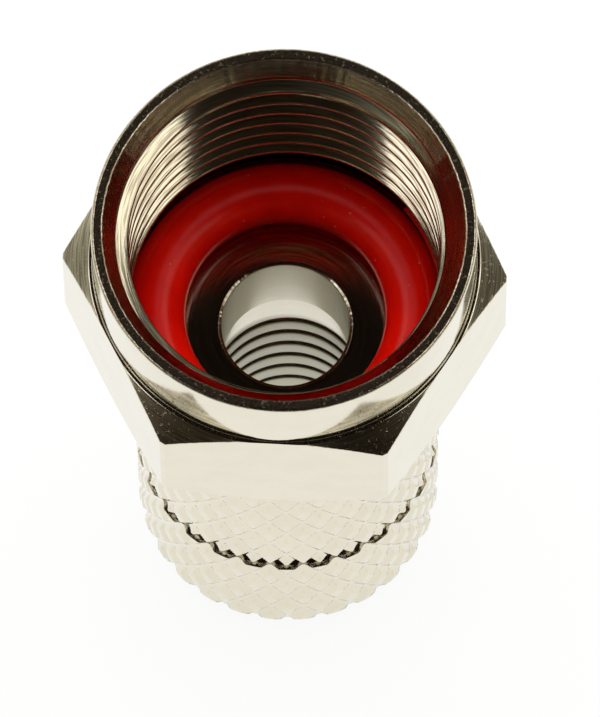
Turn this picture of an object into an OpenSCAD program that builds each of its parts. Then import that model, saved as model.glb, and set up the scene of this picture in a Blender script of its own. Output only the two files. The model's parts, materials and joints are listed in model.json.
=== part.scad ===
// Twist-on coaxial F connector: a turned, diamond-knurled body that screws onto
// a cable, a hexagonal coupling nut that turns on it, and a rubber sealing ring.
//
// Millimetres, +Z up.  The connector stands on its rear (cable) end: the origin
// is the centre of that end, and the open mouth of the nut points up.

/* [Knurled body] */
// Outer diameter of the barrel, over the tops of the knurl
barrel_d = 8.84; // [8.2:0.02:10]
// Length of the knurled barrel
barrel_len = 12; // [9:0.5:20]
// Chamfer on both ends of the barrel
barrel_chamfer = 0.3; // [0.1:0.05:0.6]
// Diameter of the neck that the nut turns on
neck_d = 7.6; // [6:0.1:7.8]
// Diameter of the front flange that keeps the nut on
flange_d = 8.7; // [8.4:0.05:8.8]
// Thickness of the front flange
flange_t = 0.8; // [0.5:0.1:1.6]
// Bore for the cable's inner insulation
core_d = 3.66; // [2.4:0.02:4]
// Length of the core bore, from the flange face to the cable bore
core_len = 3; // [2:0.1:4]
// Edge break on the mouth of the core bore
core_break = 0.1; // [0.05:0.05:0.3]
// Diameter of the cable bore, over the crests of its thread
cable_d = 4.4; // [4.1:0.1:5.6]
// Lead-in chamfer at the cable entry
cable_lead_in = 0.4; // [0.2:0.1:0.8]

/* [Knurl] */
// Number of diamonds around the barrel
knurl_count = 28; // [12:1:40]
// Length of one diamond along the barrel
knurl_pitch = 1.9; // [1.2:0.1:3]
// Depth of the V grooves between the diamonds
knurl_depth = 0.15; // [0.05:0.05:0.3]
// Share of each diamond's width that is left flat on top
knurl_land = 0.5; // [0.2:0.05:0.8]
// Direction of one column of diamonds, seen from the front
knurl_angle = 273; // [0:1:360]

/* [Grip groove] */
// Height of the groove's lower wall above the rear end
groove_z = 5; // [2:0.1:7]
// Width of the turned groove
groove_w = 0.5; // [0.3:0.1:1]
// Depth of the turned groove
groove_depth = 0.4; // [0.35:0.05:0.6]

/* [Coupling nut] */
// Distance from the nut's front face back to the flange face
mouth_depth = 8.05; // [7:0.05:12]
// Hexagon across flats
hex_af = 11; // [10.6:0.1:14]
// How much is turned off each corner of the hexagon
corner_cut = 0.05; // [0.02:0.01:0.3]
// Slope of the turned chamfers on both ends of the hexagon, in degrees
hex_slope = 36; // [15:1:45]
// Diameter of the round collar in front of the hexagon
collar_d = 10.88; // [10.2:0.02:10.9]
// Length of the collar
collar_len = 2.6; // [1:0.1:4]
// Edge break on the outside of the front face
face_break = 0.07; // [0.05:0.01:0.3]
// Diameter of the coupling thread at its crests
coupling_minor_d = 8.8; // [8.6:0.01:8.9]
// Diameter of the coupling thread at its roots, and of the relief behind it
coupling_major_d = 9.525; // [9.4:0.005:9.7]
// Width of the flat front face, between its two chamfers
face_w = 0.25; // [0.1:0.05:0.3]
// Half angle of the entry chamfer, in degrees from the axis
entry_angle = 34; // [20:1:50]
// Length of the relief round the sealing ring, from the flange face to the thread
relief_len = 1.7; // [1.4:0.1:3]
// Outer diameter of the skirt behind the hexagon
skirt_d = 10.4; // [10:0.05:10.6]
// Length of the straight part of the skirt, from the hexagon to the flange face
skirt_len = 0.55; // [0.3:0.05:1]
// Outer diameter of the rolled lip, at its end
lip_d = 9; // [8.4:0.1:9.4]
// Length of the rolled lip behind the flange
lip_len = 0.9; // [0.6:0.1:1.5]

/* [Sealing ring] */
// Inner diameter of the ring
ring_id = 5.7; // [4.4:0.1:5.8]
// Diameter of the ring's section
ring_section = 1.72; // [1.2:0.02:1.8]
// How far the ring is pressed flat where it sits on the flange
ring_flat = 0.04; // [0.02:0.01:0.1]

/* [Clearances] */
// Radial clearance between the nut and the flange it turns on
flange_clearance = 0.08; // [0.05:0.01:0.1]
// Radial clearance between the nut's lip and the neck
neck_clearance = 0.09; // [0.05:0.01:0.1]
// End play of the nut's lip, on each side
end_play = 0.1; // [0.05:0.05:0.3]

/* [Hidden] */

$fn = 96;
eps = 0.01;

// Heights of the body's faces, from the rear end up
neck_len = lip_len + 2 * end_play;
flange_under_z = barrel_len + neck_len;
flange_z = flange_under_z + flange_t;
core_end_z = flange_z - core_len;

// Heights of the nut's faces, from its front face down
front_z = flange_z + mouth_depth;
ledge_z = front_z - collar_len;
thread_end_z = flange_z + relief_len;
hex_end_z = flange_z + skirt_len;
lip_front_z = flange_under_z - end_play;
lip_end_z = lip_front_z - lip_len;

// Radii
barrel_r = barrel_d / 2;
flange_r = flange_d / 2;
core_r = core_d / 2;
cable_r = cable_d / 2;
collar_r = collar_d / 2;
flat_r = hex_af / 2;
hexagon_r = flat_r / cos(30);
hex_corner_r = hexagon_r - corner_cut;
coupling_minor_r = coupling_minor_d / 2;
coupling_major_r = coupling_major_d / 2;
entry_r = collar_r - face_break - face_w;
skirt_r = skirt_d / 2;
recess_r = flange_r + flange_clearance;
lip_bore_r = neck_d / 2 + neck_clearance;

// The relief for the sealing ring ends level with the ring's widest circle
relief_end_z = flange_z + ring_section / 2;

// Knurl lattice.  Rows are half a diamond apart and columns half a diamond
// round; diamonds sit on every other crossing of the two.
row_h = knurl_pitch / 2;
column_angle = 180 / knurl_count;
columns = 2 * knurl_count;
rows_below_groove = ceil(groove_z / row_h) + 1;
rows_above_groove = ceil((barrel_len - groove_z) / row_h) + 1;
knurl_rows = rows_below_groove + rows_above_groove;
knurl_valley_r = barrel_r - knurl_depth;

// Revolves a profile of [radius, height] points about the axis.
module turned(profile) {
    rotate_extrude() polygon(profile);
}

// Point on the knurl lattice; the column and row may fall between crossings.
function lattice(radius, column, row) =
    let (angle = knurl_angle + column * column_angle)
    [radius * cos(angle), radius * sin(angle),
     groove_z + (row - rows_below_groove) * row_h];

// A column and row meet on a diamond's centre where this is true.
function is_diamond(column, row) = (column + row + rows_below_groove) % 2 == 0;

// The crossing where V grooves meet, and the four corners of a diamond's land.
function crossing(column, row) = lattice(knurl_valley_r, column, row);
function land_corner(column, row, step) =
    lattice(barrel_r, column + knurl_land * step[0], row + knurl_land * step[1]);

// Triangles of one quarter of a diamond: its share of the land and one flank.
// Steps point from the centre to a neighbouring crossing, along and across.
function quarter(column, row, along, across) =
    let (centre = lattice(barrel_r, column, row),
         land_a = land_corner(column, row, along),
         land_b = land_corner(column, row, across),
         valley_a = crossing(column + along[0], row + along[1]),
         valley_b = crossing(column + across[0], row + across[1]))
    [[centre, land_a, land_b],
     [land_a, valley_a, valley_b],
     [land_a, valley_b, land_b]];

// The four quarters of a diamond, or the two that are left on an end row.
function diamond(column, row) =
    let (right = [1, 0], up = [0, 1], left = [-1, 0], down = [0, -1])
    concat(
        row < knurl_rows ? quarter(column, row, right, up) : [],
        row < knurl_rows ? quarter(column, row, up, left) : [],
        row > 0 ? quarter(column, row, left, down) : [],
        row > 0 ? quarter(column, row, down, right) : []);

// The outline of an end row, from one crossing over the next half diamond.
function end_outline(column, row) =
    is_diamond(column, row)
        ? [land_corner(column, row, [-1, 0]), lattice(barrel_r, column, row),
           land_corner(column, row, [1, 0])]
        : [crossing(column, row)];

// A flat end of the knurled bar, as a fan about the axis.
function end_fan(row) =
    let (outline = [for (c = [0 : columns - 1]) each end_outline(c, row)],
         middle = [0, 0, lattice(0, 0, row)[2]],
         count = len(outline))
    [for (i = [0 : count - 1])
        row == 0
            ? [middle, outline[(i + 1) % count], outline[i]]
            : [middle, outline[i], outline[(i + 1) % count]]];

// A round bar covered all over in a diamond knurl with V grooves.
module knurled_bar() {
    triangles = concat(
        [for (row = [0 : knurl_rows], column = [0 : columns - 1])
            if (is_diamond(column, row)) each diamond(column, row)],
        end_fan(0),
        end_fan(knurl_rows));
    points = [for (triangle = triangles) each triangle];
    faces = [for (i = [0 : len(triangles) - 1]) [3 * i + 2, 3 * i + 1, 3 * i]];
    polyhedron(points = points, faces = faces);
}

// What is left of the bar after its ends and the grip groove are turned.
module barrel_envelope() {
    reach = barrel_r + eps;
    chamfer_r = reach - barrel_chamfer;
    groove_r = barrel_r - groove_depth;
    turned([
        [0, 0], [chamfer_r, 0], [reach, barrel_chamfer],
        [reach, groove_z], [groove_r, groove_z],
        [groove_r, groove_z + groove_w], [reach, groove_z + groove_w],
        [reach, barrel_len - barrel_chamfer], [chamfer_r, barrel_len],
        [0, barrel_len]]);
}

// Body: knurled barrel, neck and front flange in one turned piece.
module knurled_body() {
    color("gainsboro")
    difference() {
        union() {
            intersection() {
                knurled_bar();
                barrel_envelope();
            }
            translate([0, 0, barrel_len - eps])
                cylinder(d = neck_d, h = neck_len + 2 * eps);
            translate([0, 0, flange_under_z])
                cylinder(d = flange_d, h = flange_t);
        }
        // Core bore, with its edge broken at the flange face
        translate([0, 0, core_end_z - eps])
            cylinder(r = core_r, h = core_len + 2 * eps);
        translate([0, 0, flange_z - core_break])
            cylinder(r1 = core_r, r2 = core_r + core_break + eps, h = core_break + eps);
        // Cable bore, with its lead-in at the rear
        translate([0, 0, -eps])
            cylinder(r = cable_r, h = core_end_z + eps);
        translate([0, 0, -eps])
            cylinder(r1 = cable_r + cable_lead_in + eps, r2 = cable_r,
                     h = cable_lead_in + eps);
    }
}

// Outside of the nut: collar, turned hexagon, skirt and rolled lip.
module nut_outside() {
    // Both turned cones start at mid-flat and are lowest at the corners
    cone_h = (hex_corner_r - flat_r) * tan(hex_slope);
    turned([
        [0, ledge_z - eps], [collar_r, ledge_z - eps],
        [collar_r, front_z - face_break],
        [collar_r - face_break, front_z], [0, front_z]]);
    intersection() {
        translate([0, 0, hex_end_z])
            cylinder(r = hexagon_r, h = ledge_z - hex_end_z, $fn = 6);
        turned([
            [0, hex_end_z], [flat_r, hex_end_z],
            [hex_corner_r, hex_end_z + cone_h], [hex_corner_r, ledge_z - cone_h],
            [flat_r, ledge_z], [0, ledge_z]]);
    }
    turned([
        [0, lip_end_z], [lip_d / 2, lip_end_z],
        [skirt_r, flange_z], [skirt_r, hex_end_z + eps],
        [0, hex_end_z + eps]]);
}

// Inside of the nut: entry chamfer, thread bore, relief, recess and lip bore.
module nut_inside() {
    entry_len = (entry_r - coupling_minor_r) / tan(entry_angle);
    over = eps / tan(entry_angle);
    turned([
        [0, front_z + over], [entry_r + eps, front_z + over],
        [coupling_minor_r, front_z - entry_len],
        [0, front_z - entry_len]]);
    translate([0, 0, thread_end_z - eps])
        cylinder(r = coupling_minor_r, h = front_z - entry_len - thread_end_z + 2 * eps);
    turned([
        [0, thread_end_z], [coupling_major_r, thread_end_z],
        [coupling_major_r, relief_end_z], [recess_r, flange_z], [0, flange_z]]);
    translate([0, 0, lip_front_z])
        cylinder(r = recess_r, h = flange_z - lip_front_z + eps);
    translate([0, 0, lip_end_z - eps])
        cylinder(r = lip_bore_r, h = lip_len + 2 * eps);
}

// Nut: turns freely on the neck, held between the flange and the barrel.
module coupling_nut() {
    color("silver")
    difference() {
        nut_outside();
        nut_inside();
    }
}

// Ring: a round rubber section that sits on the flange round the core bore.
module sealing_ring() {
    section_r = ring_section / 2;
    color("red")
    rotate_extrude()
    intersection() {
        translate([ring_id / 2 + section_r, flange_z + section_r - ring_flat])
            circle(r = section_r);
        translate([0, flange_z])
            square([ring_id + ring_section, ring_section]);
    }
}

coupling_nut();
knurled_body();
sealing_ring();
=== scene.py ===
"""Twist-on coaxial F connector: nickel-plated nut and knurled body with a red sealing ring.

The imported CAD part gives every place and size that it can. This script replaces its three plain
solids with finely meshed pieces of the same form: the nut with its helical coupling thread, the
body with its rounded diamond knurl and its helical cable thread, and the rubber ring.

The connector's axis is Z and its mouth faces up. Names that end in _Z are heights above the rear
end, and names that end in _R are distances from the axis.
"""

import json
import math

import bmesh
import bpy
import numpy as np
from mathutils import Matrix, Vector


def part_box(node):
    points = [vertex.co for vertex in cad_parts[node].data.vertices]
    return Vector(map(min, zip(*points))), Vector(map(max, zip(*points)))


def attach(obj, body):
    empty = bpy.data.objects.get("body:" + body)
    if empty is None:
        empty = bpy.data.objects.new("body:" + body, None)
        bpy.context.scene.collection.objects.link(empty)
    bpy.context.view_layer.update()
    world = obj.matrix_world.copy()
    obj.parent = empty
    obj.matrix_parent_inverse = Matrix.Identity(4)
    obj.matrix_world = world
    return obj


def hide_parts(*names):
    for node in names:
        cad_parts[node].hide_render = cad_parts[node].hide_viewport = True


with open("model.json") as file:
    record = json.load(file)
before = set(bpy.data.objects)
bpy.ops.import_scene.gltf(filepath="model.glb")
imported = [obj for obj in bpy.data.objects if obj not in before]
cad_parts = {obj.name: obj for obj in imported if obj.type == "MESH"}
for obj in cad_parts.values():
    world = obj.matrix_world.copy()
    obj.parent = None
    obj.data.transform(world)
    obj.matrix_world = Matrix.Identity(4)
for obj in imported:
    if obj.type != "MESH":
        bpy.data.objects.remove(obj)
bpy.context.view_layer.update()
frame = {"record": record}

MM = 0.001
TURN = 2 * math.pi


# ---------------------------------------------------------------- sizes, in millimetres
def box_mm(node):
    """Low and high corner of a CAD node."""
    low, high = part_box(node)
    return low / MM, high / MM


def mount_mm(name):
    """Radius, lower end and upper end of a round mount."""
    mount = next(m for m in frame["record"]["mounts"] if m["name"] == name)
    middle = mount["pos_m"][2] / MM
    length = mount["dims"]["length_mm"]
    return mount["dims"]["r_mm"], middle - length / 2, middle + length / 2


nut_low, nut_high = box_mm("coupling_nut")
_, body_high = box_mm("knurled_body")
ring_low, ring_high = box_mm("sealing_ring")

# Body: barrel, neck and flange
FLANGE_Z = body_high.z
FLANGE_R = 4.35
FLANGE_T = 0.8
NECK_R = 3.8
BARREL_R = 4.42
BARREL_LEN = 12.0
BARREL_CHAMFER = 0.3
GROOVE_Z = 5.0
GROOVE_TOP_Z = GROOVE_Z + 0.41
GROOVE_R = BARREL_R - 0.4

# Body: diamond knurl. The angle is that of a diamond's centre at the groove's lower edge, the land
# is a flat's share of its diamond, and the steps are mesh rows to a diamond.
KNURL_COUNT = 28
KNURL_PITCH = 1.9
KNURL_DEPTH = 0.15
KNURL_LAND = 0.5
KNURL_ANGLE = math.radians(273)
KNURL_STEPS = 16

# Body: core bore and cable thread, which fades in at CABLE_THREAD_Z in an otherwise plain bore
CORE_R, CORE_LOW_Z, CORE_HIGH_Z = mount_mm("core_bore")
CORE_BREAK = FLANGE_Z - CORE_HIGH_Z
CABLE_R, CABLE_LEAD_IN, _ = mount_mm("cable_thread")
CABLE_ROOT_R = CABLE_R + 0.2
CABLE_PITCH = 1.0
CABLE_START = 0.85
CABLE_THREAD_Z = 8.75
CABLE_FADE = 0.45
CABLE_CONE_Z = CABLE_LEAD_IN - (CABLE_ROOT_R - CABLE_R)

# Nut: hexagon, collar and front face
FRONT_Z = nut_high.z
FLAT_R = nut_high.y
CORNER_R = nut_high.x
COLLAR_R = 5.44
LEDGE_Z = FRONT_Z - 2.6
LEDGE_FLAT = 0.1
HEX_SLOPE = math.tan(math.radians(36))
HEX_END_Z = FLANGE_Z + 0.55
FACE_BREAK = 0.07
ENTRY_R = COLLAR_R - FACE_BREAK - 0.25

# Nut: skirt, rolled lip behind the flange, and the room for flange and ring
SKIRT_R = 5.2
LIP_R = 4.5
LIP_BORE_R = 3.89
LIP_END_Z = nut_low.z
LIP_FRONT_Z = LIP_END_Z + 0.9
RECESS_R = FLANGE_R + 0.08
RELIEF_END_Z = FLANGE_Z + 0.86

# Nut: coupling thread, 3/8 inch over the roots and 32 turns to the inch, behind a conical entry
CREST_R, THREAD_LOW_Z, THREAD_HIGH_Z = mount_mm("coupling_thread")
ROOT_R = 9.525 / 2
THREAD_PITCH = 25.4 / 32
THREAD_START = 0.313
ENTRY_SLOPE = (ENTRY_R - CREST_R) / (FRONT_Z - THREAD_HIGH_Z)
ENTRY_END_Z = FRONT_Z - (ENTRY_R - ROOT_R) / ENTRY_SLOPE

# Nut: step of the mesh round the axis, and the least step that is kept, in degrees
NUT_STEP = 0.72
NUT_LEAST_STEP = 0.12

# Sealing ring: a round section, and the steps of its mesh
RING_OUTER_R = ring_high.x
RING_SECTION_R = 0.86
RING_STEP = 1.5
RING_SECTION_STEPS = 48

# One turn of each thread, from the middle of a crest: (phase, radius)
THREAD_SHAPE = [
    (0.00, CREST_R),
    (0.03, CREST_R),
    (0.105, CREST_R + 0.03),
    (0.325, ROOT_R - 0.02),
    (0.36, ROOT_R),
    (0.64, ROOT_R),
    (0.675, ROOT_R - 0.02),
    (0.895, CREST_R + 0.03),
    (0.97, CREST_R),
]
CABLE_SHAPE = [
    (0.00, CABLE_R),
    (0.15, CABLE_R),
    (0.32, CABLE_R + 0.005),
    (0.38, CABLE_R + 0.05),
    (0.48, CABLE_ROOT_R),
    (0.52, CABLE_ROOT_R),
    (0.62, CABLE_R + 0.05),
    (0.68, CABLE_R + 0.005),
    (0.85, CABLE_R),
]

# ---------------------------------------------------------------- looks
# Nickel: its tone and its clouds, then the pits, tool marks, front face and the painted shade
# inside the cable bore over them
NICKEL = (0.785, 0.74, 0.60, 1)
NICKEL_CLOUD = (0.76, 0.715, 0.575, 1)
PIT = (0.22, 0.18, 0.13, 1)
TOOL_MARK = (0.30, 0.235, 0.165, 1)
FRONT_SPECKLE = (0.34, 0.25, 0.16, 1)
# Painted shade: the darker colour given to the inside of the deep cable bore
PAINTED_BORE_SHADE = (0.24, 0.23, 0.15, 1)
NICKEL_RELIEF_MM = 0.003

RUBBER = (0.80, 0.0060, 0.0010, 1)
RUBBER_CLOUD = (0.68, 0.0036, 0.0008, 1)
DUST = (0.60, 0.30, 0.24, 1)
RUBBER_RELIEF_MM = 0.002

# Floor: its half width in metres, its colour, and the share of its white that is its own
FLOOR_HALF = 0.6
FLOOR_COLOUR = (0.96, 0.96, 0.96, 1)
FLOOR_OWN_WHITE = 0.92

# Studio round the object: (sine of the elevation, colour)
STUDIO_TONES = [
    (0.00, (0.36, 0.36, 0.30, 1)),
    (0.30, (0.12, 0.11, 0.085, 1)),
    (0.55, (0.036, 0.026, 0.016, 1)),
    (0.94, (0.006, 0.004, 0.003, 1)),
]

# Soft boxes: distance in metres, and the middle's elevation and the spread in degrees
BOX_DISTANCE = 0.4
BOX_ELEVATION = 42
BOX_WIDE = 70
BOX_HIGH = 37
BOX_RADIANCE = 1.35

# Fill light: strength, and its spread and lean in degrees
FILL_STRENGTH = 2.9
FILL_SPREAD = 70
FILL_LEAN = -27

# Camera: direction and roll in degrees, distance and side shift in metres, lens in millimetres
CAMERA_AZIMUTH = 3.97
CAMERA_ELEVATION = 70.6
CAMERA_ROLL = -0.79
CAMERA_DISTANCE = 0.4
CAMERA_SHIFT = 0.0004
CAMERA_LENS = 696.6
CAMERA_SENSOR = 36


# ---------------------------------------------------------------- mesh tools
def ring_points(angles, radius, height):
    """One ring of the lathe mesh, [angle, (radius, height)]. Each is a number or an array."""
    ring = np.empty((len(angles), 2))
    ring[:, 0] = radius
    ring[:, 1] = height
    return ring


def eased(rings, index, size, steps=3):
    """The rings of a small round in place of the ring at index, reaching size to either side."""
    before, corner, after = rings[index - 1], rings[index], rings[index + 1]

    def towards(other):
        gap = other - corner
        length = np.linalg.norm(gap, axis=1, keepdims=True)
        return corner + gap * np.minimum(size / np.maximum(length, 1e-9), 0.45)

    start, end = towards(before), towards(after)
    out = []
    for step in range(steps + 1):
        t = step / steps
        out.append((1 - t) ** 2 * start + 2 * t * (1 - t) * corner + t * t * end)
    return out


def ripple(angles, size, seed, coarsest=9, finest=140):
    """A seeded random wave round the axis, within size either way, for an edge not quite true.

    It is a sum of waves with coarsest to finest cycles to a turn, finest itself left out.
    """
    random = np.random.default_rng(seed)
    wave = np.zeros(len(angles))
    for cycles in range(coarsest, finest):
        wave += random.normal() * np.cos(cycles * angles + random.uniform(0, TURN))
    return size * wave / np.abs(wave).max()


def profile(angles, corners):
    """Rings for part of a profile. Each corner is (radius, height, round); round 0 is sharp."""
    rings = [ring_points(angles, r, z) for r, z, _ in corners]
    out = []
    for i, (_, _, size) in enumerate(corners):
        if size and 0 < i < len(corners) - 1:
            out += eased(rings, i, size)
        else:
            out.append(rings[i])
    return out


def helix(angles, top_z, low_z, pitch, start, shape, fitted):
    """Rings that follow a right-handed internal thread down from top_z to low_z.

    shape is one turn as (phase, radius), and start turns it round the axis. fitted(radius, z)
    fits that radius to the entry or runout at a height, and gives the same for any radius at
    top_z. Rings past either end are held there, so they fall together and merge.
    """
    turns = math.ceil((top_z - low_z) / pitch) + 1
    root_r = max(radius for _, radius in shape)
    out = []
    for turn in range(-2, turns):
        for phase, radius in shape:
            z = top_z - (turn + start + phase + angles / TURN) * pitch
            held = np.clip(z, low_z, top_z)
            ring = ring_points(angles, fitted(radius, held), held)
            ring[z < low_z, 0] = root_r
            out.append(ring)
    return out


def lathe(name, angles, rings, helix_span=None, helix_step=0):
    """A closed mesh from rings round the axis, the last ring joined to the first.

    Where the angles start again, a ring in helix_span meets the one helix_step rings on.
    """
    count, width = len(rings), len(angles)
    points = np.empty((count, width, 3))
    for k, ring in enumerate(rings):
        points[k, :, 0] = ring[:, 0] * np.cos(angles) * MM
        points[k, :, 1] = ring[:, 0] * np.sin(angles) * MM
        points[k, :, 2] = ring[:, 1] * MM

    def over_seam(k):
        if helix_span and helix_span[0] <= k < helix_span[1]:
            return min(k + helix_step, helix_span[1] - 1)
        return k

    faces = []
    for k in range(count):
        n = (k + 1) % count
        here, there = k * width, n * width
        for i in range(width - 1):
            faces.append((here + i, here + i + 1, there + i + 1, there + i))
        faces.append((here + width - 1, over_seam(k) * width,
                      over_seam(n) * width, there + width - 1))
    mesh = bpy.data.meshes.new(name)
    mesh.from_pydata(points.reshape(-1, 3).tolist(), [], faces)
    bm = bmesh.new()
    bm.from_mesh(mesh)
    bmesh.ops.remove_doubles(bm, verts=bm.verts, dist=2e-8)
    bmesh.ops.dissolve_degenerate(bm, edges=bm.edges, dist=1e-8)
    loose = [v for v in bm.verts if not v.link_faces]
    bmesh.ops.delete(bm, geom=loose, context="VERTS")
    if bm.calc_volume(signed=True) < 0:
        bmesh.ops.reverse_faces(bm, faces=bm.faces)
    bm.to_mesh(mesh)
    bm.free()
    mesh.shade_smooth()
    piece = bpy.data.objects.new(name, mesh)
    bpy.context.scene.collection.objects.link(piece)
    return piece


def even_normals(piece):
    """Weights each point's normal by area, so flat faces stay flat beside rounded edges."""
    mesh = piece.data
    normals = np.empty((len(mesh.polygons), 3))
    areas = np.empty(len(mesh.polygons))
    sides = np.empty(len(mesh.polygons), dtype=int)
    points = np.empty(len(mesh.loops), dtype=int)
    mesh.polygons.foreach_get("normal", normals.ravel())
    mesh.polygons.foreach_get("area", areas)
    mesh.polygons.foreach_get("loop_total", sides)
    mesh.loops.foreach_get("vertex_index", points)
    summed = np.zeros((len(mesh.vertices), 3))
    np.add.at(summed, points, np.repeat(normals * areas[:, None], sides, axis=0))
    summed /= np.linalg.norm(summed, axis=1, keepdims=True)
    mesh.normals_split_custom_set_from_vertices(summed.tolist())


# ---------------------------------------------------------------- coupling nut
def hexagon_reach(angles):
    """Radius of the hexagon with turned corners, whose corners lie on +X and -X."""
    off_flat = (angles % (TURN / 6)) - TURN / 12
    return np.minimum(FLAT_R / np.cos(off_flat), CORNER_R)


def nut_angles():
    """Even steps all round, with closer ones where the turned corners begin."""
    turned = TURN / 12 - math.acos(FLAT_R / CORNER_R)
    near = [0.5 * turned, turned, 1.6 * turned]
    steps = list(np.radians(np.arange(0, 360, NUT_STEP)))
    for k in range(6):
        steps += [k * TURN / 6 + side * offset for offset in near for side in (1, -1)]
    steps = sorted(a % TURN for a in steps)
    kept = [steps[0]]
    for a in steps[1:]:
        if a - kept[-1] > math.radians(NUT_LEAST_STEP):
            kept.append(a)
    return np.array(kept)


def cut_by_entry(radius, z):
    """Radius of the coupling thread where the conical entry may cut it."""
    return np.maximum(radius, ENTRY_R - (FRONT_Z - z) * ENTRY_SLOPE)


def build_nut():
    angles = nut_angles()
    reach = hexagon_reach(angles)
    drop = (reach - FLAT_R) * HEX_SLOPE
    ledge_r = np.minimum(reach - 0.005, COLLAR_R + LEDGE_FLAT)
    outer_edge = ripple(angles, 0.006, seed=3)
    inner_edge = ripple(angles, 0.014, seed=4)
    # A ring this far above the entry's end keeps the cone's shading straight
    near_end = 0.012

    outside = profile(angles, [
        (LIP_BORE_R, LIP_END_Z, 0),
        (LIP_BORE_R + 0.05, LIP_END_Z, 0),
        (LIP_R, LIP_END_Z, 0.12),
        (SKIRT_R, FLANGE_Z, 0.25),
        (SKIRT_R, HEX_END_Z, 0.03),
        (FLAT_R - 0.02, HEX_END_Z, 0.01),
        (reach, HEX_END_Z + drop, 0.05),
        (reach, LEDGE_Z - drop, 0.04),
        (ledge_r, LEDGE_Z, 0.03),
        (COLLAR_R, LEDGE_Z, 0.02),
        (COLLAR_R, FRONT_Z - FACE_BREAK + outer_edge, 0.04),
        (COLLAR_R - FACE_BREAK + outer_edge, FRONT_Z, 0.03),
        (ENTRY_R + inner_edge, FRONT_Z, 0.045),
        (ROOT_R + near_end * ENTRY_SLOPE, ENTRY_END_Z + near_end, 0),
        (ROOT_R, ENTRY_END_Z, 0),
    ])
    thread = helix(angles, ENTRY_END_Z, THREAD_LOW_Z, THREAD_PITCH, THREAD_START,
                   THREAD_SHAPE, cut_by_entry)
    inside = profile(angles, [
        (ROOT_R, THREAD_LOW_Z, 0),
        (ROOT_R, RELIEF_END_Z, 0.05),
        (RECESS_R, FLANGE_Z, 0.05),
        (RECESS_R, LIP_FRONT_Z, 0.05),
        (LIP_BORE_R, LIP_FRONT_Z, 0.05),
        (LIP_BORE_R, LIP_END_Z + 0.05, 0),
    ])
    rings = outside + thread + inside
    span = (len(outside), len(outside) + len(thread))
    nut = lathe("nut_shell", angles, rings, span, len(THREAD_SHAPE))
    even_normals(nut)
    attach(nut, "nut")
    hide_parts("coupling_nut")
    return nut


# ---------------------------------------------------------------- knurled body
def knurl_radius(angles, z):
    """Radius of the knurl: flat-topped diamonds between grooves with round bottoms."""
    across = (angles - KNURL_ANGLE) / (TURN / KNURL_COUNT / 2)
    along = (z - GROOVE_Z) / (KNURL_PITCH / 2)
    # In half diamonds from the grooves of either hand: 0 on a groove, 1 on a diamond's centre
    one = np.abs((across + along) % 2 - 1)
    two = np.abs((across - along) % 2 - 1)
    up_flank = np.clip(np.minimum(one, two) / (1 - KNURL_LAND), 0, 1)
    return BARREL_R - KNURL_DEPTH * np.cos(up_flank * TURN / 4)


def barrel_ring(angles, z):
    """The knurl at a height, cut by the chamfer at either end of the barrel."""
    chamfer = max(0, BARREL_CHAMFER - z, BARREL_CHAMFER - (BARREL_LEN - z))
    return ring_points(angles, np.minimum(knurl_radius(angles, z), BARREL_R - chamfer), z)


def barrel_rows(angles, low_z, high_z):
    """Rings of the knurl from low_z to high_z, in step with its diamonds in between."""
    row = KNURL_PITCH / KNURL_STEPS
    lowest, highest = math.floor(-GROOVE_Z / row), math.ceil((BARREL_LEN - GROOVE_Z) / row)
    in_step = [GROOVE_Z + k * row for k in range(lowest, highest + 1)]
    between = [z for z in in_step if low_z + row / 3 < z < high_z - row / 3]
    return [barrel_ring(angles, z) for z in [low_z, *between, high_z]]


def faded_or_cut(radius, z):
    """Radius of the cable thread, which fades into the plain bore and is cut by the lead-in."""
    faded = CABLE_R + (radius - CABLE_R) * np.clip((CABLE_THREAD_Z - z) / CABLE_FADE, 0, 1)
    return np.maximum(faded, CABLE_R + CABLE_LEAD_IN - z)


def build_body():
    columns = KNURL_COUNT * KNURL_STEPS
    angles = np.arange(columns) * (TURN / columns)
    rim = ripple(angles, 0.016, seed=5, finest=110)
    # A ring this far inside the knurl keeps the groove's walls flat up to their edges
    near_edge = 0.02

    barrel = barrel_rows(angles, 0, GROOVE_Z)
    barrel += [
        ring_points(angles, knurl_radius(angles, GROOVE_Z) - near_edge, GROOVE_Z),
        ring_points(angles, GROOVE_R, GROOVE_Z),
        ring_points(angles, GROOVE_R, GROOVE_TOP_Z),
        ring_points(angles, knurl_radius(angles, GROOVE_TOP_Z) - near_edge, GROOVE_TOP_Z),
    ]
    barrel += barrel_rows(angles, GROOVE_TOP_Z, BARREL_LEN)
    front = profile(angles, [
        (NECK_R + 0.3, BARREL_LEN, 0),
        (NECK_R, BARREL_LEN, 0.05),
        (NECK_R, FLANGE_Z - FLANGE_T, 0.05),
        (FLANGE_R, FLANGE_Z - FLANGE_T, 0.05),
        (FLANGE_R, FLANGE_Z, 0.08),
        (CORE_R + 0.95 * CORE_BREAK + rim, FLANGE_Z, 0.008),
        (CORE_R + 0.1 * CORE_BREAK, FLANGE_Z - 0.34 * CORE_BREAK + 0.4 * rim, 0.015),
        (CORE_R, FLANGE_Z - 0.6 * CORE_BREAK, 0.03),
        (CORE_R, CORE_LOW_Z, 0.04),
        (CABLE_R, CORE_LOW_Z, 0.04),
        (CABLE_R, CABLE_THREAD_Z, 0),
    ])
    thread = helix(angles, CABLE_THREAD_Z, CABLE_CONE_Z, CABLE_PITCH, CABLE_START,
                   CABLE_SHAPE, faded_or_cut)
    rear = profile(angles, [
        (CABLE_ROOT_R, CABLE_CONE_Z, 0),
        (CABLE_R + CABLE_LEAD_IN, 0, 0),
        (CABLE_R + CABLE_LEAD_IN + 0.05, 0, 0),
    ])
    rings = barrel + front + thread + rear
    start = len(barrel) + len(front)
    body = lathe("body_shell", angles, rings, (start, start + len(thread)), len(CABLE_SHAPE))
    even_normals(body)
    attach(body, "body")
    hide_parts("knurled_body")
    return body


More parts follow.
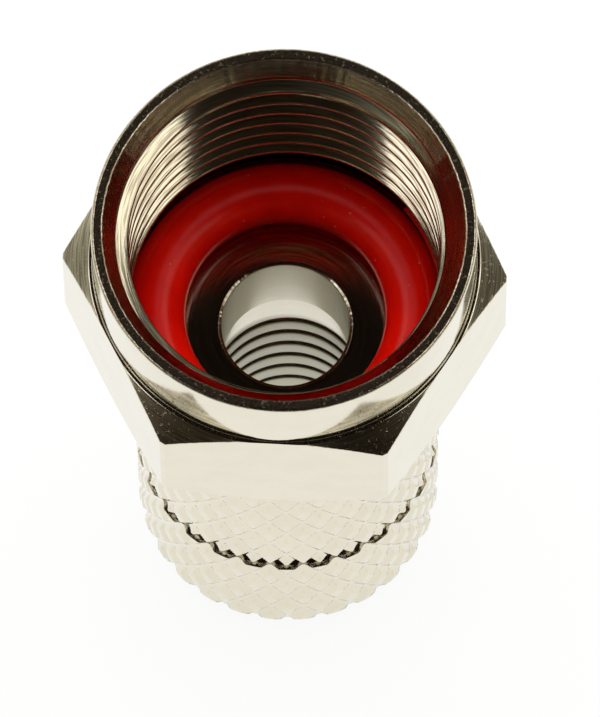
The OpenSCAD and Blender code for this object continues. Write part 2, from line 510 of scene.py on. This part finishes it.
# ---------------------------------------------------------------- sealing ring
def build_ring():
    """A round section, with a flat where it rests on the flange."""
    angles = np.radians(np.arange(0, 360, RING_STEP))
    middle_r = RING_OUTER_R - RING_SECTION_R
    middle_z = ring_high.z - RING_SECTION_R
    rings = []
    for turn in np.arange(0, TURN, TURN / RING_SECTION_STEPS):
        z = max(middle_z + RING_SECTION_R * math.sin(turn), ring_low.z)
        rings.append(ring_points(angles, middle_r + RING_SECTION_R * math.cos(turn), z))
    ring = lathe("rubber_ring", angles, rings)
    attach(ring, "body")
    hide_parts("sealing_ring")
    return ring


# ---------------------------------------------------------------- material tools
def add_node(tree, kind, inputs=None, **settings):
    """A new shader node. Each input is a value, or the output socket that gives it."""
    node = tree.nodes.new("ShaderNode" + kind)
    for name, value in settings.items():
        setattr(node, name, value)
    for name, value in (inputs or {}).items():
        if isinstance(value, bpy.types.NodeSocket):
            tree.links.new(value, node.inputs[name])
        else:
            node.inputs[name].default_value = value
    return node


def maths(tree, operation, *values):
    """One Math node's output."""
    return add_node(tree, "Math", dict(enumerate(values)), operation=operation).outputs[0]


def product(tree, first, *others):
    """All the values multiplied together."""
    for other in others:
        first = maths(tree, "MULTIPLY", first, other)
    return first


def total(tree, first, *others):
    """All the values added up."""
    for other in others:
        first = maths(tree, "ADD", first, other)
    return first


def vector_maths(tree, operation, *vectors, output="Vector", **inputs):
    """One Vector Math node's output."""
    inputs = {**dict(enumerate(vectors)), **inputs}
    return add_node(tree, "VectorMath", inputs, operation=operation).outputs[output]


def steps_between(tree, value, low, high, out_low=0.0, out_high=1.0):
    """value eased from out_low at low to out_high at high."""
    limits = {"Value": value, "From Min": low, "From Max": high,
              "To Min": out_low, "To Max": out_high}
    return add_node(tree, "MapRange", limits, interpolation_type="SMOOTHSTEP").outputs["Result"]


def blended(tree, factor, first, second):
    """A colour between first and second."""
    node = add_node(tree, "Mix", {"Factor": factor, "A": first, "B": second}, data_type="RGBA")
    return node.outputs["Result"]


def noise(tree, place, per_mm, detail=3.0, roughness=0.6):
    inputs = {"Vector": place, "Scale": per_mm, "Detail": detail, "Roughness": roughness}
    return add_node(tree, "TexNoise", inputs).outputs["Fac"]


def lathe_marks(tree, axes, radius, across_mm, along_mm):
    """Fine rings left by the turning tool, across_mm apart and changing every along_mm round."""
    vector = add_node(tree, "CombineXYZ", {
        "X": maths(tree, "DIVIDE", radius, across_mm),
        "Y": maths(tree, "DIVIDE", axes["Z"], across_mm),
        "Z": maths(tree, "DIVIDE", axes["X"], along_mm),
    }).outputs["Vector"]
    inputs = {"Vector": vector, "W": maths(tree, "DIVIDE", axes["Y"], along_mm),
              "Scale": 1.0, "Detail": 2.0, "Roughness": 0.65}
    return add_node(tree, "TexNoise", inputs, noise_dimensions="4D").outputs["Fac"]


def place_mm(tree):
    """Where a point lies on its piece, in millimetres."""
    place = add_node(tree, "TexCoord").outputs["Object"]
    return vector_maths(tree, "SCALE", place, Scale=1 / MM)


def new_material(name):
    material = bpy.data.materials.new(name)
    material.use_nodes = True
    tree = material.node_tree
    tree.nodes.clear()
    shader = add_node(tree, "BsdfPrincipled")
    add_node(tree, "OutputMaterial", {"Surface": shader.outputs["BSDF"]})
    return material, tree, shader


def give_surface(tree, shader, tone, rough, height, relief_mm):
    """Links colour, roughness and the relief that is too fine for the mesh."""
    tree.links.new(tone, shader.inputs["Base Color"])
    tree.links.new(rough, shader.inputs["Roughness"])
    bump = add_node(tree, "Bump", {"Height": height, "Distance": relief_mm * MM, "Strength": 1.0})
    tree.links.new(bump.outputs["Normal"], shader.inputs["Normal"])


# ---------------------------------------------------------------- materials
def nickel(name, seed, bore_shade_below=None, coarse_above=None):
    """Bright nickel over turned brass: tool marks, mottling, pits and fine scratches.

    Below the height given for the cable bore, its inside is painted darker, a painted shade for the
    little light that reaches so deep, and is rougher; coarse_above is the height over which the
    metal is the roughly faced front.
    """
    material, tree, shader = new_material(name)
    place = place_mm(tree)
    own = vector_maths(tree, "ADD", place, (seed, 2 * seed, 3 * seed))
    axes = add_node(tree, "SeparateXYZ", {0: place}).outputs
    flat = add_node(tree, "CombineXYZ", {"X": axes["X"], "Y": axes["Y"]}).outputs["Vector"]
    radius = vector_maths(tree, "LENGTH", flat, output="Value")
    normal = add_node(tree, "TexCoord").outputs["Normal"]
    facing = add_node(tree, "SeparateXYZ", {0: normal}).outputs["Z"]

    # Where: the faced ends and cones, the hexagon's ledges, and the front face
    faced = steps_between(tree, maths(tree, "ABSOLUTE", facing), 0.25, 0.65)
    ledge = product(tree, faced, maths(tree, "GREATER_THAN", radius, COLLAR_R - 0.01))
    coarse = maths(tree, "GREATER_THAN", axes["Z"], coarse_above) if coarse_above else 0.0

    # What: clouds, grain, tool marks, and the pits and scratches of the nut's front
    cloud = noise(tree, own, 0.9, detail=4.0)
    grain = noise(tree, own, 14.0, detail=2.0)
    marks = lathe_marks(tree, axes, radius, 0.045, 1.6)
    broad_marks = lathe_marks(tree, axes, radius, 0.16, 3.0)
    pits = steps_between(tree, noise(tree, own, 11.0, detail=1.0, roughness=0.4), 0.64, 0.72)
    pits = product(tree, pits, maths(tree, "MAXIMUM", ledge, coarse))
    stretched = vector_maths(tree, "MULTIPLY", own, (3.0, 0.35, 5.0))
    scratches = steps_between(tree, noise(tree, stretched, 3.0, detail=2.0), 0.68, 0.72)
    scratches = product(tree, scratches, ledge)
    streaks = product(tree, steps_between(tree, marks, 0.44, 0.58, 0.0, 0.75), faced)
    speckle = product(tree, steps_between(tree, grain, 0.42, 0.62, 0.1, 0.8), coarse)

    # Colour: each layer over the one before
    tone = blended(tree, steps_between(tree, cloud, 0.35, 0.65), NICKEL, NICKEL_CLOUD)
    tone = blended(tree, product(tree, pits, 0.6), tone, PIT)
    tone = blended(tree, streaks, tone, TOOL_MARK)
    tone = blended(tree, speckle, tone, FRONT_SPECKLE)

    # Roughness: least on the upright walls
    rough = total(
        tree,
        steps_between(tree, faced, 0.0, 1.0, 0.07, 0.11),
        steps_between(tree, marks, 0.35, 0.65, -0.02, 0.04),
        product(tree, pits, 0.2),
        product(tree, scratches, 0.08),
        product(tree, coarse, 0.12),
    )

    # Relief: the tool marks are deepest on the faced ends and cones
    marks_height = total(tree, product(tree, marks, 0.7), product(tree, broad_marks, 0.5))
    height = total(
        tree,
        product(tree, marks_height, total(tree, product(tree, faced, 0.8), 0.2)),
        product(tree, grain, 0.15),
        product(tree, grain, coarse, 1.5),
        product(tree, pits, -0.4),
        product(tree, scratches, -0.1),
    )

    # Painted shade: deep in the cable bore the colour is darkened to stand in for the shade there,
    # and the roughness is raised
    if bore_shade_below:
        inside = maths(tree, "LESS_THAN", radius, CABLE_ROOT_R + 0.05)
        low = steps_between(tree, axes["Z"], bore_shade_below - 0.5, bore_shade_below, 1.0, 0.0)
        dull_and_shaded_bore = product(tree, inside, low)
        wall = product(tree, inside, maths(tree, "SUBTRACT", 1.0, faced))
        # The darker colour blended in here is painted shade
        tone = blended(tree, product(tree, dull_and_shaded_bore, 0.55), tone, PAINTED_BORE_SHADE)
        rough = total(tree, rough, product(tree, wall, 0.10), product(tree, dull_and_shaded_bore, 0.20))

    give_surface(tree, shader, tone, rough, height, NICKEL_RELIEF_MM)
    shader.inputs["Metallic"].default_value = 1
    return material


def rubber(name):
    """Moulded red rubber: a satin skin with faint clouds, fine grain and a few specks of dust."""
    material, tree, shader = new_material(name)
    place = place_mm(tree)
    cloud = noise(tree, place, 0.7, detail=3.0)
    grain = noise(tree, place, 22.0, detail=2.0)
    dust = steps_between(tree, noise(tree, place, 7.0, detail=0.0), 0.84, 0.87)
    tone = blended(tree, steps_between(tree, cloud, 0.3, 0.7), RUBBER, RUBBER_CLOUD)
    tone = blended(tree, product(tree, dust, 0.5), tone, DUST)
    rough = steps_between(tree, grain, 0.3, 0.7, 0.18, 0.26)
    height = total(tree, grain, product(tree, cloud, 3.0))
    give_surface(tree, shader, tone, rough, height, RUBBER_RELIEF_MM)
    shader.inputs["Specular IOR Level"].default_value = 0.2
    return material


# ---------------------------------------------------------------- stage, light and camera
def floor_white():
    """A floor that stays evenly white: to the camera and in reflections it glows by itself."""
    material = bpy.data.materials.new("floor_white")
    material.use_nodes = True
    tree = material.node_tree
    tree.nodes.clear()
    own = add_node(tree, "Emission", {"Color": (1.0, 1.0, 1.0, 1)})
    lit = add_node(tree, "BsdfDiffuse", {"Color": FLOOR_COLOUR})
    path = add_node(tree, "LightPath").outputs
    seen = maths(tree, "MAXIMUM", path["Is Camera Ray"], path["Is Glossy Ray"])
    share = product(tree, seen, FLOOR_OWN_WHITE)
    mixed = add_node(tree, "MixShader", {0: share, 1: lit.outputs[0], 2: own.outputs[0]})
    add_node(tree, "OutputMaterial", {"Surface": mixed.outputs[0]})
    return material


def build_stage():
    half = FLOOR_HALF
    mesh = bpy.data.meshes.new("floor")
    corners = [(-half, -half, 0), (half, -half, 0), (half, half, 0), (-half, half, 0)]
    mesh.from_pydata(corners, [], [(0, 1, 2, 3)])
    floor = bpy.data.objects.new("floor", mesh)
    bpy.context.scene.collection.objects.link(floor)
    mesh.materials.append(floor_white())


def build_world():
    """White to the camera. In reflections, grey near the horizon and dark brown overhead.

    It is dimmest towards the front, and brighter on the left than on the right.
    """
    world = bpy.data.worlds.new("studio")
    bpy.context.scene.world = world
    world.use_nodes = True
    tree = world.node_tree
    tree.nodes.clear()
    generated = add_node(tree, "TexCoord").outputs["Generated"]
    way = add_node(tree, "SeparateXYZ", {0: generated}).outputs
    to_front = steps_between(tree, way["Y"], -0.9, -0.2, 0.3, 1.0)
    to_right = steps_between(tree, way["X"], -1.0, 1.0, 1.7, 0.8)
    ramp = add_node(tree, "ValToRGB", {"Fac": way["Z"]})
    stops = ramp.color_ramp.elements
    stops.remove(stops[1])
    stops[0].position, stops[0].color = STUDIO_TONES[0]
    for height, colour in STUDIO_TONES[1:]:
        stops.new(height).color = colour
    dim = add_node(tree, "Background", {"Color": ramp.outputs["Color"],
                                        "Strength": product(tree, to_front, to_right)})
    white = add_node(tree, "Background", {"Color": (1, 1, 1, 1)})
    seen = add_node(tree, "LightPath").outputs["Is Camera Ray"]
    mixed = add_node(tree, "MixShader", {0: seen, 1: dim.outputs[0], 2: white.outputs[0]})
    add_node(tree, "OutputWorld", {"Surface": mixed.outputs[0]})


def soft_box(name, azimuth, tint):
    """A soft box that faces the flange from an azimuth in degrees, counted from +X."""
    width = 2 * BOX_DISTANCE * math.tan(math.radians(BOX_WIDE / 2))
    height = 2 * BOX_DISTANCE * math.tan(math.radians(BOX_HIGH / 2))
    data = bpy.data.lights.new(name, "AREA")
    data.shape = "RECTANGLE"
    data.size, data.size_y = width, height
    data.energy = BOX_RADIANCE * math.pi * width * height
    data.color = tint
    around, up = math.radians(azimuth), math.radians(BOX_ELEVATION)
    out = Vector((math.cos(around) * math.cos(up), math.sin(around) * math.cos(up), math.sin(up)))
    box = bpy.data.objects.new(name, data)
    box.location = Vector((0, 0, FLANGE_Z * MM)) + out * BOX_DISTANCE
    box.rotation_mode = "QUATERNION"
    box.rotation_quaternion = out.to_track_quat("Z", "Y")
    box.visible_camera = False
    bpy.context.scene.collection.objects.link(box)


def fill_light():
    """Even light from above for the rubber and the floor, which the metal doesn't mirror."""
    data = bpy.data.lights.new("fill", "SUN")
    data.energy = FILL_STRENGTH
    data.angle = math.radians(FILL_SPREAD)
    fill = bpy.data.objects.new("fill", data)
    fill.rotation_euler = (math.radians(FILL_LEAN), 0, 0)
    fill.visible_glossy = False
    bpy.context.scene.collection.objects.link(fill)


def build_camera():
    """Looks steeply down into the mouth from the front, a little to the right of one flat."""
    around, up = math.radians(CAMERA_AZIMUTH), math.radians(CAMERA_ELEVATION)
    back = Vector((math.sin(around) * math.cos(up), -math.cos(around) * math.cos(up), math.sin(up)))
    right = Vector((math.cos(around), math.sin(around), 0))
    aim = Vector((0, 0, FRONT_Z / 2 * MM)) + right * CAMERA_SHIFT
    data = bpy.data.cameras.new("camera")
    data.sensor_width = CAMERA_SENSOR
    data.lens = CAMERA_LENS
    data.clip_start, data.clip_end = 0.01, 10
    camera = bpy.data.objects.new("camera", data)
    camera.rotation_mode = "QUATERNION"
    camera.location = aim + back * CAMERA_DISTANCE
    level = (-back).to_track_quat("-Z", "Y")
    roll = Matrix.Rotation(math.radians(CAMERA_ROLL), 4, "Z").to_quaternion()
    camera.rotation_quaternion = level @ roll
    bpy.context.scene.collection.objects.link(camera)
    bpy.context.scene.camera = camera


nut = build_nut()
nut.data.materials.append(nickel("nut_nickel", seed=1.7, coarse_above=FRONT_Z - 0.6 * FACE_BREAK))
body = build_body()
body.data.materials.append(nickel("body_nickel", seed=4.1, bore_shade_below=CABLE_THREAD_Z))
ring = build_ring()
ring.data.materials.append(rubber("ring_rubber"))
build_stage()
build_world()
soft_box("right_box", 12, tint=(1.0, 0.97, 0.86))
soft_box("left_box", 168, tint=(1.0, 0.97, 0.93))
fill_light()
build_camera()

bpy.context.scene.view_settings.view_transform = "Standard"
